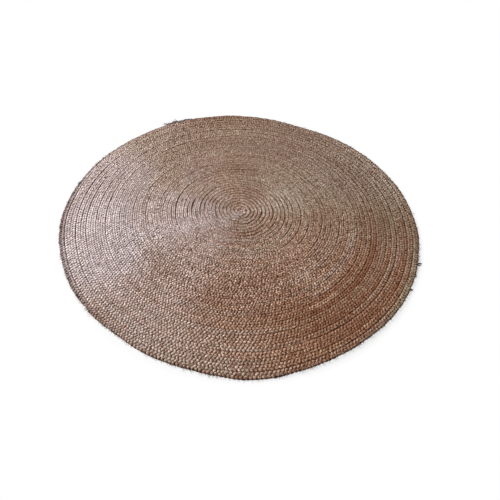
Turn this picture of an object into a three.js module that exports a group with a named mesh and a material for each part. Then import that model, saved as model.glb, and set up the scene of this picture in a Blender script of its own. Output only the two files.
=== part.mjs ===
// A round jute rug, made the way the real one is: a single three-strand plait is wound flat in a
// spiral from the middle outwards and each turn is sewn to the one inside it.
// The rug is one piece, so it is one closed solid. Its top shows the turns as low crowns with
// shallow grooves between them, its edge is rounded, and its underside is flat on the floor.
// Millimetres, +Z up. The origin is on the floor, in the middle of the rug's box.

import * as THREE from "three";

const RUG_RADIUS = 750;
const THICKNESS = 10;

// The plait was worked a little tighter at the start, so its turns widen towards the edge.
const WIDTH_AT_MIDDLE = 15.9;
const WIDTH_AT_EDGE = 20.3;
const WIDENING = (WIDTH_AT_EDGE - WIDTH_AT_MIDDLE) / RUG_RADIUS;

const GROOVE_DEPTH = 2.5;
const SHOULDER_INSET = 2;
const SHOULDER_HEIGHT = 7.5;
const RIM_HEIGHT = 4.5;
const FOOT_INSET = 2.5;

// Angles are in degrees, counter-clockwise from +X, seen from above. The plait winds the other way.
const TAIL_ANGLE = 118;
const TAIL_TAPER = 40;

// The coil was started a little off the middle of the finished rug, and its turns even that out.
const START_ASTRAY = { x: -15, y: 15 };

// Where the hand-sewn outline swells past a true circle, or falls short of it.
const OUTLINE_SWELLS = [
  { at: 22, spread: 17, out: 6 },
  { at: 69, spread: 10, out: -16 },
  { at: 137, spread: 13, out: -6 },
  { at: 190, spread: 7, out: 4 },
  { at: 238, spread: 6, out: -5 },
  { at: 276, spread: 9, out: 12 },
  { at: 309, spread: 12, out: -3 },
  { at: 344, spread: 12, out: 2 },
];

// The swells fade out within the outermost turns: this power of the radius sets how fast.
const SWELL_FADE = 6;

const STEPS_PER_TURN = 54;
const FIRST_TURN = 0.5;

// The corners that close the middle of the top and of the underside stand a little off-centre: the
// first is inside the curl of the plait's start, the second leaves flat facets right under the middle.
const HEART_OFFSET = 2.5;
const UNDERSIDE_HUB_OFFSET = 60;

const JUTE_COLOUR = 0x8f7560;

// The radius of the plait's middle line after so many turns from the very middle.
function spiralRadius(turns) {
  return (WIDTH_AT_MIDDLE / WIDENING) * (Math.exp(WIDENING * turns) - 1);
}

// How many turns it takes for the plait's middle line to reach this radius.
function turnsToReach(radius) {
  return Math.log(1 + (WIDENING * radius) / WIDTH_AT_MIDDLE) / WIDENING;
}

function radians(degrees) {
  return (degrees * Math.PI) / 180;
}

// How far the outline lies outside the true circle in this direction.
function outlineSwell(angle) {
  let out = 0;
  for (const swell of OUTLINE_SWELLS) {
    const away = THREE.MathUtils.euclideanModulo(angle - swell.at + 180, 360) - 180;
    out += swell.out * Math.exp(-0.5 * (away / swell.spread) ** 2);
  }
  return out;
}

// The stations along the spiral. Each has the plait's crown line, and the valley line outside it,
// which the next turn shares. In the last turn the valley line is the rug's outer edge.
function spiralStations() {
  const lastTurn = turnsToReach(RUG_RADIUS - WIDTH_AT_EDGE / 2);
  const count = Math.round((lastTurn - FIRST_TURN) * STEPS_PER_TURN);
  const taperSteps = (TAIL_TAPER / 360) * STEPS_PER_TURN;
  const stations = [];
  for (let i = 0; i <= count; i++) {
    const turn = FIRST_TURN + i / STEPS_PER_TURN;
    const angle = TAIL_ANGLE + (360 * (count - i)) / STEPS_PER_TURN;
    stations.push({ angle, crown: spiralRadius(turn), valley: spiralRadius(turn + 0.5), fullness: 1 });
  }
  // The outer end tapers away to nothing against the turn inside it.
  for (let i = Math.ceil(count - taperSteps); i <= count; i++) {
    const station = stations[i];
    const inside = stations[i - STEPS_PER_TURN].valley;
    station.fullness = THREE.MathUtils.smoothstep(count - i, 0, taperSteps);
    station.crown = THREE.MathUtils.lerp(inside, station.crown, station.fullness);
    station.valley = THREE.MathUtils.lerp(inside, station.valley, station.fullness);
  }
  return stations;
}

// Moves a radius out or in so that the outer edge follows the rug's uneven outline.
function drawnToOutline(radius, station, edgeRadius) {
  const wanted = RUG_RADIUS + outlineSwell(station.angle);
  return radius + (wanted - edgeRadius) * (radius / edgeRadius) ** SWELL_FADE;
}

// Collects the corners and triangles of a closed body. Its callers go round the coil as the plait
// winds, clockwise, so that each triangle is turned over to face out.
class Body {
  constructor() {
    this.corners = [];
    this.triangles = [];
  }

  corner(radius, angle, height) {
    const turn = radians(angle);
    const astray = Math.max(0, 1 - (radius / RUG_RADIUS) ** 2);
    const x = radius * Math.cos(turn) + START_ASTRAY.x * astray;
    const y = radius * Math.sin(turn) + START_ASTRAY.y * astray;
    this.corners.push(x, y, height);
    return this.corners.length / 3 - 1;
  }

  triangle(a, b, c) {
    if (a !== b && b !== c && c !== a) {
      this.triangles.push(a, c, b);
    }
  }

  quad(a, b, c, d) {
    this.triangle(a, b, c);
    this.triangle(a, c, d);
  }

  geometry() {
    const made = new THREE.BufferGeometry();
    made.setAttribute("position", new THREE.Float32BufferAttribute(this.corners, 3));
    made.setIndex(this.triangles);
    return made;
  }
}

// The rows of corners along the spiral: crown and valley on every turn, rim and foot on the last.
function spiralRows(body, stations) {
  const last = stations.length - 1;
  const outerStart = last - STEPS_PER_TURN;
  const rows = { crown: [], valley: [], rim: [], foot: [] };
  for (let i = 0; i < last; i++) {
    const station = stations[i];
    const turnsLeft = Math.floor((last - 1 - i) / STEPS_PER_TURN);
    const edge = stations[i + turnsLeft * STEPS_PER_TURN].valley;
    const onEdge = i >= outerStart;
    const crownHeight = THREE.MathUtils.lerp(SHOULDER_HEIGHT, THICKNESS, station.fullness);
    const crown = drawnToOutline(station.crown, station, edge);
    const valley = drawnToOutline(station.valley, station, edge);
    rows.crown.push(body.corner(crown, station.angle, crownHeight));
    if (onEdge) {
      rows.valley.push(body.corner(valley - SHOULDER_INSET, station.angle, SHOULDER_HEIGHT));
      rows.rim.push(body.corner(valley, station.angle, RIM_HEIGHT));
      rows.foot.push(body.corner(valley - FOOT_INSET, station.angle, 0));
    } else {
      rows.valley.push(body.corner(valley, station.angle, THICKNESS - GROOVE_DEPTH));
    }
  }
  // The tapered end closes on the turn inside it, so the edge runs all the way round.
  rows.valley.push(rows.valley[outerStart]);
  rows.crown.push(rows.valley[outerStart]);
  rows.rim.push(rows.rim[0]);
  rows.foot.push(rows.foot[0]);
  return rows;
}

function addTop(body, rows) {
  const last = rows.crown.length - 1;
  for (let i = 0; i < last; i++) {
    body.quad(rows.crown[i], rows.valley[i], rows.valley[i + 1], rows.crown[i + 1]);
  }
  for (let i = 0; i < last - STEPS_PER_TURN; i++) {
    const next = i + STEPS_PER_TURN;
    body.quad(rows.valley[i], rows.crown[next], rows.crown[next + 1], rows.valley[i + 1]);
  }
}

// The curled-in start of the plait closes the middle.
function addHeart(body, rows, startAngle) {
  const heart = body.corner(HEART_OFFSET, startAngle + 90, THICKNESS);
  for (let i = 0; i < STEPS_PER_TURN; i++) {
    body.triangle(heart, rows.crown[i], rows.crown[i + 1]);
  }
  body.triangle(heart, rows.crown[STEPS_PER_TURN], rows.valley[0]);
  body.triangle(heart, rows.valley[0], rows.crown[0]);
}

function addEdgeAndUnderside(body, rows) {
  const outerStart = rows.valley.length - 1 - STEPS_PER_TURN;
  const hub = body.corner(UNDERSIDE_HUB_OFFSET, 180, 0);
  for (let i = 0; i < STEPS_PER_TURN; i++) {
    const shoulder = rows.valley[outerStart + i];
    const nextShoulder = rows.valley[outerStart + i + 1];
    body.quad(shoulder, rows.rim[i], rows.rim[i + 1], nextShoulder);
    body.quad(rows.rim[i], rows.foot[i], rows.foot[i + 1], rows.rim[i + 1]);
    body.triangle(hub, rows.foot[i + 1], rows.foot[i]);
  }
}

function coiledBraid() {
  const body = new Body();
  const stations = spiralStations();
  const rows = spiralRows(body, stations);
  addTop(body, rows);
  addHeart(body, rows, stations[0].angle);
  addEdgeAndUnderside(body, rows);
  const geometry = body.geometry();
  geometry.computeBoundingBox();
  const middle = geometry.boundingBox.getCenter(new THREE.Vector3());
  geometry.translate(-middle.x, -middle.y, 0);
  geometry.computeVertexNormals();
  const jute = new THREE.MeshStandardMaterial({ color: JUTE_COLOUR, roughness: 0.95, metalness: 0 });
  const mesh = new THREE.Mesh(geometry, jute);
  mesh.name = "coiled_braid";
  return mesh;
}

const rug = new THREE.Group();
rug.add(coiledBraid());

export default rug;
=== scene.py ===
"""A round jute rug: one three-strand plait, coiled flat in a spiral and sewn turn to turn.

The three strands are made as real tubes that pass over and under each other all the way from the
middle of the coil to its tucked outer end. Metres, +Z up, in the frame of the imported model.
"""

import math

import bpy
import numpy as np
from mathutils import Matrix, Vector


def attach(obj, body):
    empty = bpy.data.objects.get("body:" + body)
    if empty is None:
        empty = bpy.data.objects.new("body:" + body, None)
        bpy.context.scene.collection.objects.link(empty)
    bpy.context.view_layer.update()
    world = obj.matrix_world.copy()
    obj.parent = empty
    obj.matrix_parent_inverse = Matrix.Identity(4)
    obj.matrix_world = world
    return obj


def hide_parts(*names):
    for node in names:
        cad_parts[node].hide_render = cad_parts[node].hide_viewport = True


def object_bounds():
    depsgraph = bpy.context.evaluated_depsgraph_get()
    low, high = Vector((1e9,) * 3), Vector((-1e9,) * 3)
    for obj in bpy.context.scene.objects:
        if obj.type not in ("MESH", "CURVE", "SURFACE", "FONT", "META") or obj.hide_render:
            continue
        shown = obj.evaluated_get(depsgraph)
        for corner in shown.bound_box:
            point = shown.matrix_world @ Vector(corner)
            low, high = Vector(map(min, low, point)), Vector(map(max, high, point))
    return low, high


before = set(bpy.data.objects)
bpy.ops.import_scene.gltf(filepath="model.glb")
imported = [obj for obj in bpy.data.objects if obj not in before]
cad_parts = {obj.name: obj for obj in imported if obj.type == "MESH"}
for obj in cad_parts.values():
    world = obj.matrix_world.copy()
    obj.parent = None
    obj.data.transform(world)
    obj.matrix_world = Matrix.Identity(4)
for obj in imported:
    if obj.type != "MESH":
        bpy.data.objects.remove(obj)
cad_low, cad_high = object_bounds()

MM = 0.001
TINY = 1e-9
UP = np.array([0, 0, 1.0])

# The coil, with the same sizes as its solid. Angles are in degrees, counter-clockwise from +X, seen
# from above.
RUG_RADIUS = 750 * MM
RUG_THICKNESS = cad_high.z - cad_low.z
WIDTH_AT_MIDDLE = 15.9 * MM
WIDTH_AT_EDGE = 20.3 * MM
WIDENING = (WIDTH_AT_EDGE - WIDTH_AT_MIDDLE) / RUG_RADIUS
TAIL_ANGLE = 118
TAIL_TAPER_TURNS = 40 / 360
START_ASTRAY = np.array([-15, 15]) * MM
SWELL_FADE = 6
STATIONS_PER_TURN = 54
STATION_ZERO_TURN = 0.5

# Where the hand-sewn outline swells past a true circle, or falls short of it.
OUTLINE_SWELLS = (
    {"at": 22, "spread": 17, "out": 6 * MM},
    {"at": 69, "spread": 10, "out": -16 * MM},
    {"at": 137, "spread": 13, "out": -6 * MM},
    {"at": 190, "spread": 7, "out": 4 * MM},
    {"at": 238, "spread": 6, "out": -5 * MM},
    {"at": 276, "spread": 9, "out": 12 * MM},
    {"at": 309, "spread": 12, "out": -3 * MM},
    {"at": 344, "spread": 12, "out": 2 * MM},
)

# The plait.
STRANDS = 3
PERIOD_WIDTHS = 1.57         # a strand is back at the same side after this many widths of the plait
STRAND_HALF_WIDTH = 0.235    # of the plait's width
STRAND_HALF_HEIGHT = 2.35 * MM
SIDE_SWELL = 0.55            # how much taller a strand stands where it turns at the plait's side
SHOULDER = 1.10              # how full a strand's section is, next to an ellipse
WEAVE_RISE = 2.35 * MM       # how far a strand's middle rises and dips as it crosses the others
WEAVE_LEAN = 0.25            # how soon it rises after it turns at the side
WEAVE_ROLL = math.radians(8)
WEAVE_HUG = 0.10             # how squarely a strand hugs the plait's sides before it crosses
SIDE_TURN = 5                # how short its turn at the side is, as a power
SIDE_PRESS = 1.3 * MM        # how far neighbouring turns press into each other
LEAST_WIDTH = 0.3            # how narrow the plait is at its narrowest, of its full width
CLOSED_LIFT = 0.6 * MM       # how much higher a strand turns at the side where grooves are closed up
# The shade of the dive is painted into the yarn's colour.
CLOSED_RISE = 0.45           # how much of the shade of its dive it loses there
RINGS_PER_PERIOD = 8
RING_CROWDING = 0.15         # how much closer the rings stand where a strand turns
SECTION_ANGLES = np.radians([0, 45, 90, 135, 180, 270])
FLOOR_GAP = 0.05 * MM
CURL_START_TURN = 0.16
SETTLED_FROM_TURN = 0.6
SETTLED_WITHIN_TURNS = 1.5
OUTERMOST_FADE = 1 / 20      # in turns
TABLE_STEPS_PER_TURN = 240
START_TAPER = {"left": 0.70, "rings": 4}
END_TAPER = {"left": 0.25, "rings": 5}

BODY = "root"
NODE = "coiled_braid"


# ---------------------------------------------------------------- the line of the coil


def smoothstep(x):
    x = np.clip(x, 0, 1)
    return x * x * (3 - 2 * x)


def unit(vectors):
    """The same directions, each with a length of 1."""
    return vectors / np.linalg.norm(vectors, axis=-1, keepdims=True)


def spiral_radius(turn):
    """The radius of the plait's middle line after so many turns from the very middle."""
    return WIDTH_AT_MIDDLE / WIDENING * np.expm1(WIDENING * turn)


def last_turn():
    """The turn at which the plait ends, on a whole station of the solid."""
    reach = RUG_RADIUS - WIDTH_AT_EDGE / 2
    turns = math.log1p(WIDENING * reach / WIDTH_AT_MIDDLE) / WIDENING
    stations = round((turns - STATION_ZERO_TURN) * STATIONS_PER_TURN)
    return STATION_ZERO_TURN + stations / STATIONS_PER_TURN


LAST_TURN = last_turn()


def angle_at(turn):
    """The direction from the middle, in degrees. The plait winds outwards clockwise."""
    return TAIL_ANGLE + 360 * (LAST_TURN - turn)


def outline_swell(angle):
    """How far the outline lies outside the true circle in these directions."""
    out = np.zeros_like(angle)
    for swell in OUTLINE_SWELLS:
        away = (angle - swell["at"] + 180) % 360 - 180
        out += swell["out"] * np.exp(-0.5 * (away / swell["spread"]) ** 2)
    return out


def outer_side(turn):
    """The outer side of the plait, which tapers in to the turn inside it at the end."""
    inside = spiral_radius(turn - 0.5)
    fullness = smoothstep((LAST_TURN - turn) / TAIL_TAPER_TURNS)
    return inside + (spiral_radius(turn + 0.5) - inside) * fullness


def drawn_to_outline(radius, turn):
    """Moves a radius out or in so that the rug's edge follows its uneven outline."""
    turns_left = np.floor(LAST_TURN - turn - TINY).clip(0)
    edge = outer_side(turn + turns_left)
    wanted = RUG_RADIUS + outline_swell(angle_at(turn))
    return radius + (wanted - edge) * (radius / edge) ** SWELL_FADE


def outline(count):
    """Evenly spaced points of the rug's edge, as angles in degrees and radii."""
    turn = LAST_TURN - 1 + np.arange(count) / count
    return angle_at(turn), drawn_to_outline(outer_side(turn), turn)


def on_coil(radius, angle):
    """A place on the coil, whose start lies a little off the middle of the rug."""
    turned = np.radians(angle)
    astray = (1 - (radius / RUG_RADIUS) ** 2).clip(0)[..., None]
    return np.stack([radius * np.cos(turned), radius * np.sin(turned)], -1) + START_ASTRAY * astray


def coil_middle():
    """Where the middle of the rug's circle lies, so that the rug's box is the solid's box."""
    angle, radius = outline(STATIONS_PER_TURN)
    edge = on_coil(radius, angle)
    box_middle = (edge.min(0) + edge.max(0)) / 2
    solid_middle = np.array((cad_low + cad_high) / 2)[:2]
    return solid_middle - box_middle


COIL_MIDDLE = coil_middle()


# ---------------------------------------------------------------- the hand in the work


def wander(place, spacing, seed):
    """A smooth random line through place, about -1 to 1, that turns about once in each spacing."""
    low = np.floor(place.min() / spacing) - 1
    knots = np.random.default_rng(seed).uniform(-1, 1, int(np.ptp(place) / spacing) + 6)
    at = place / spacing - low
    index = np.floor(at).astype(int)
    share = smoothstep(at - index)
    return knots[index] * (1 - share) + knots[index + 1] * share


def wanders(place, rows, seed=0):
    """The sum of several such lines, each with its own size, spacing and seed."""
    return sum(row["size"] * wander(place, row["spacing"], seed + row["seed"]) for row in rows)


BOW = 5 * MM
BOW_ROW = 110 * MM
BOW_COLUMNS = 11
BOW_SEED = 16
BOW_FREE_FROM = 0.3 * RUG_RADIUS
BOW_HELD_POWER = 4


def bow(radius, angle):
    """How far the turns bow out of round here, together with their neighbours."""
    rows = int(RUG_RADIUS / BOW_ROW) + 3
    draws = np.random.default_rng(BOW_SEED).uniform(-1, 1, (rows, BOW_COLUMNS))
    row = radius / BOW_ROW
    column = angle / 360 * BOW_COLUMNS
    first_row = np.floor(row).astype(int)
    first_column = np.floor(column).astype(int)
    across = smoothstep(column - first_column)
    inner, outer = (
        draws[first_row + step, first_column % BOW_COLUMNS] * (1 - across)
        + draws[first_row + step, (first_column + 1) % BOW_COLUMNS] * across
        for step in (0, 1)
    )
    out = smoothstep(row - first_row)
    free = smoothstep(radius / BOW_FREE_FROM) * (1 - (radius / RUG_RADIUS) ** BOW_HELD_POWER).clip(0)
    return BOW * free * (inner * (1 - out) + outer * out)


# Turns that lie a little apart, so that the groove between them reads as a dark line. Each is given
# by its distance from the middle, the angles it runs between, and how wide it gapes.
OPEN_GROOVES = (
    {"radius": 724 * MM, "start": 150, "end": 214, "gape": 0.8 * MM},
    {"radius": 697 * MM, "start": 152, "end": 212, "gape": 1.9 * MM},
    {"radius": 664 * MM, "start": 150, "end": 215, "gape": 1.8 * MM},
    {"radius": 641 * MM, "start": 162, "end": 208, "gape": 1.9 * MM},
    {"radius": 626 * MM, "start": 150, "end": 165, "gape": 2.0 * MM},
    {"radius": 577 * MM, "start": 165, "end": 180, "gape": 2.0 * MM},
    {"radius": 495 * MM, "start": 175, "end": 198, "gape": 2.2 * MM},
    {"radius": 446 * MM, "start": 170, "end": 193, "gape": 2.0 * MM},
    {"radius": 367 * MM, "start": 172, "end": 188, "gape": 1.9 * MM},
    {"radius": 227 * MM, "start": 140, "end": 175, "gape": 2.7 * MM},
    {"radius": 210 * MM, "start": 130, "end": 175, "gape": 2.0 * MM},
    {"radius": 174 * MM, "start": 157, "end": 178, "gape": 1.9 * MM},
    {"radius": 146 * MM, "start": 140, "end": 165, "gape": 1.9 * MM},
    {"radius": 656 * MM, "start": 0, "end": 50, "gape": 1.5 * MM},
    {"radius": 634 * MM, "start": 0, "end": 50, "gape": 1.7 * MM},
    {"radius": 611 * MM, "start": 0, "end": 50, "gape": 1.5 * MM},
    {"radius": 581 * MM, "start": 0, "end": 50, "gape": 1.7 * MM},
    {"radius": 510 * MM, "start": 0, "end": 25, "gape": 1.5 * MM},
    {"radius": 450 * MM, "start": 0, "end": 25, "gape": 1.5 * MM},
    {"radius": 203 * MM, "start": 0, "end": 42, "gape": 2.2 * MM},
    {"radius": 157 * MM, "start": 0, "end": 45, "gape": 2.2 * MM},
    {"radius": 116 * MM, "start": 0, "end": 25, "gape": 1.5 * MM},
    {"radius": 630 * MM, "start": 297, "end": 325, "gape": 0.6 * MM},
    {"radius": 570 * MM, "start": 287, "end": 360, "gape": 0.7 * MM},
    {"radius": 532 * MM, "start": 290, "end": 330, "gape": 0.6 * MM},
    {"radius": 457 * MM, "start": 282, "end": 298, "gape": 0.9 * MM},
    {"radius": 435 * MM, "start": 315, "end": 332, "gape": 0.6 * MM},
    {"radius": 287 * MM, "start": 282, "end": 295, "gape": 0.8 * MM},
    {"radius": 195 * MM, "start": 270, "end": 350, "gape": 0.8 * MM},
    {"radius": 165 * MM, "start": 280, "end": 340, "gape": 0.8 * MM},
    {"radius": 130 * MM, "start": 277, "end": 335, "gape": 1.3 * MM},
    {"radius": 77 * MM, "start": 262, "end": 307, "gape": 0.8 * MM},
)


def groove_turn(radius, angle):
    """The turn whose outer side runs nearest to this radius in this direction."""
    astray = START_ASTRAY * (1 - (radius / RUG_RADIUS) ** 2)
    x = radius * math.cos(math.radians(angle)) - astray[0]
    y = radius * math.sin(math.radians(angle)) - astray[1]
    turns = math.log1p(WIDENING * math.hypot(x, y) / WIDTH_AT_MIDDLE) / WIDENING - 0.5
    back = (math.degrees(math.atan2(y, x)) - TAIL_ANGLE) / 360
    return LAST_TURN - back + round(turns - LAST_TURN + back)


def along_stretch(turn, row, steepness):
    """1 along one stretch of a turn, which a table's row gives, and 0 past its ends."""
    middle = groove_turn(row["radius"], (row["start"] + row["end"]) / 2)
    half = (row["end"] - row["start"]) / 2 / 360
    return smoothstep((1 - np.abs(turn - middle) / half) * steepness)


def facing(turn, direction, edge=0.0, steepness=1.5):
    """1 where the plait runs on the side of the rug that faces this way, and 0 on the other sides."""
    return smoothstep((np.cos(np.radians(angle_at(turn) - direction)) - edge) * steepness)


def past(turn, start, fade):
    """0 up to this turn, and 1 from so many turns further out."""
    return smoothstep((turn - start) / fade)


FRONT_SIDE = 262
RIGHT_SIDE = 328
LEFT_SIDE = 180


def near_front(turn):
    """1 along the front of the rug, where the turns are sewn tightest, and 0 along the rest."""
    return facing(turn, FRONT_SIDE, edge=0.1)


def closed_up(turn):
    """1 at the right, where the grooves are closed up with jute, and 0 elsewhere."""
    return facing(turn, RIGHT_SIDE, edge=0.6, steepness=3.5) * past(turn, start=13, fade=6)


# How far up the turns' sides the painted shade of a groove reaches, next to its plain reach.
FRONT_REACH = -0.40
LEFT_REACH = 0.05
HEART_REACH = 0.30
CLOSED_REACH = -0.42
REACH_WANDERS = (
    {"size": 0.16, "spacing": 0.17, "seed": 25},
    {"size": 0.16, "spacing": 0.05, "seed": 26},
)


def groove_softness(turn):
    """How far up the turns' sides the painted shade of a groove reaches: wide at the heart and at the left.
    """
    heart = 1 - past(turn, start=9, fade=6)
    left = facing(turn, LEFT_SIDE, steepness=1.4) * past(turn, start=22, fade=8)
    soft = 1 + FRONT_REACH * near_front(turn) * (1 - heart) + LEFT_REACH * left
    soft += HEART_REACH * heart + CLOSED_REACH * closed_up(turn)
    return soft + wanders(turn, REACH_WANDERS)


# How far the grooves gape: all of them, slack and open ones, which do so unevenly, and short ones.
# Spacings along a turn are in turns.
PLAIN_GAPE = 0.30 * MM
TIGHTER_AT_FRONT = 0.9 * MM
GAPE_WANDERS = (
    {"size": 0.45 * MM, "spacing": 0.21, "seed": 11},
    {"size": 0.35 * MM, "spacing": 0.07, "seed": 24},
)
SLACK_PARTS = (
    {"towards": 142, "from_turn": -9, "to_turn": 20, "gape": 2.0 * MM},
    {"towards": 320, "from_turn": -9, "to_turn": 12, "gape": 1.1 * MM},
    {"towards": 20, "from_turn": -9, "to_turn": 12, "gape": 0.8 * MM},
    {"towards": 183, "from_turn": 27, "to_turn": 60, "gape": 0.4 * MM},
    {"towards": 322, "from_turn": 14, "to_turn": 60, "gape": -1.3 * MM},
)
SLACK_FADE = 5
SLACK_UNEVEN = ({"size": 0.8, "spacing": 0.06, "seed": 22},)
OPEN_UNEVEN = ({"size": 0.8, "spacing": 0.035, "seed": 21},)
OPEN_SHARE = 0.5
SHORT_GAPE = 2.2 * MM
SHORT_UNEVEN = ({"size": 1.0, "spacing": 0.03, "seed": 27},)
SHORT_SHARE = -0.25


def groove_gape(turn):
    """How far the groove outside this turn gapes."""
    gape = PLAIN_GAPE + wanders(turn, GAPE_WANDERS) - TIGHTER_AT_FRONT * near_front(turn)
    for slack in SLACK_PARTS:
        there = facing(turn, slack["towards"])
        there *= smoothstep(np.minimum(turn - slack["from_turn"], slack["to_turn"] - turn) / SLACK_FADE)
        gape += slack["gape"] * there * (1 + wanders(turn, SLACK_UNEVEN))
    short = (SHORT_SHARE + wanders(turn, SHORT_UNEVEN)).clip(0)
    gape += SHORT_GAPE * short * (1 - near_front(turn)) * past(turn, start=0, fade=6)
    opened = (OPEN_SHARE + wanders(turn, OPEN_UNEVEN)).clip(0)
    for groove in OPEN_GROOVES:
        gape += groove["gape"] * opened * along_stretch(turn, groove, steepness=2.5)
    return gape


SEAM_SHIFTS = (
    {"size": 1.0 * MM, "spacing": 0.13, "seed": 12},
    {"size": 0.9 * MM, "spacing": 0.04, "seed": 13},
)
RIM_SHIFTS = (
    {"size": 2.0 * MM, "spacing": 0.028, "seed": 17},
    {"size": 1.6 * MM, "spacing": 0.011, "seed": 18},
)


def groove_shift(turn):
    """How far the sewn line outside this turn strays from the true spiral."""
    return wanders(turn, SEAM_SHIFTS)


def rim_shift(turn):
    """How far the rug's edge strays from its outline."""
    return wanders(turn, RIM_SHIFTS)


TONES = ("light", "warm", "grey")
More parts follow.
